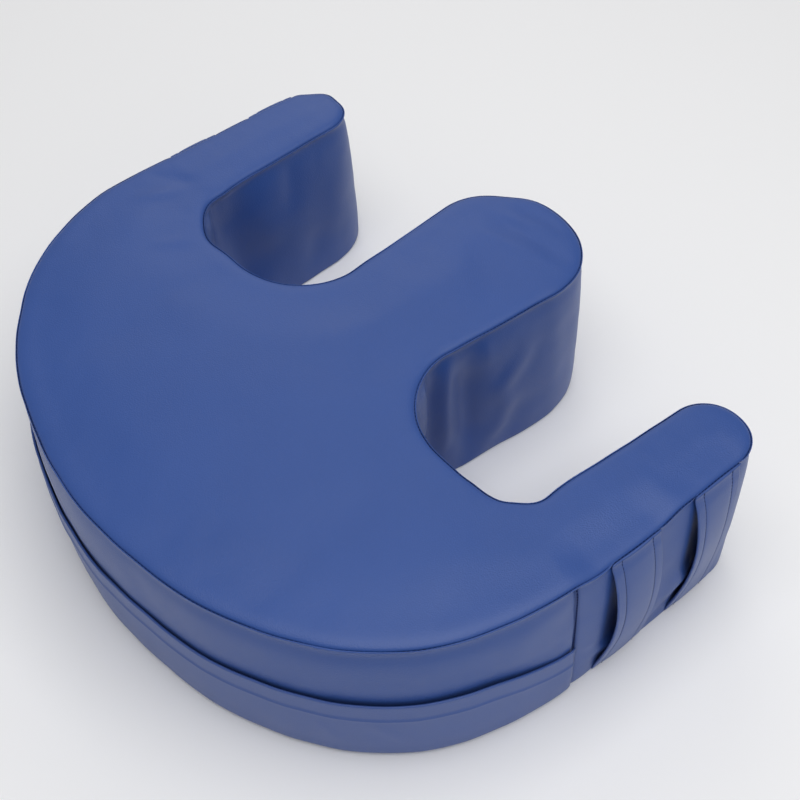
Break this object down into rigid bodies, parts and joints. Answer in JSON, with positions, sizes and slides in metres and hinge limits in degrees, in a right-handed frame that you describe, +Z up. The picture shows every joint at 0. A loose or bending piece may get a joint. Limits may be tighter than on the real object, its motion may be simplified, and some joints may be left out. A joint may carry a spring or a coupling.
{
  "type": "patient turning pillow",
  "caption": "E-shaped foam turning cushion in a sewn leatherette cover: a curved back, leg slots between arms, a long back pocket and strap handles on the sides.",
  "frame": {"origin": "middle of the base, under the middle of the whole part's box", "axes": "+X across the outer arms, +Y the way the arms point, +Z up from the flat base"},
  "size_m": [0.6342, 0.517, 0.1715],
  "materials": {
    "cover": "blue leatherette with a fine grain and a soft satin gloss",
    "pocket_band": "the same blue leatherette, hemmed along its open edge",
    "strap_band": "the same blue leatherette, folded double and stitched along both edges"
  },
  "bodies": {
    "root": {"cushion": "cover", "pocket": "pocket_band", "strap_right_near_pocket": "strap_band", "strap_right_near_tip": "strap_band", "strap_left_near_pocket": "strap_band", "strap_left_near_tip": "strap_band"}
  },
  "joints": []
}
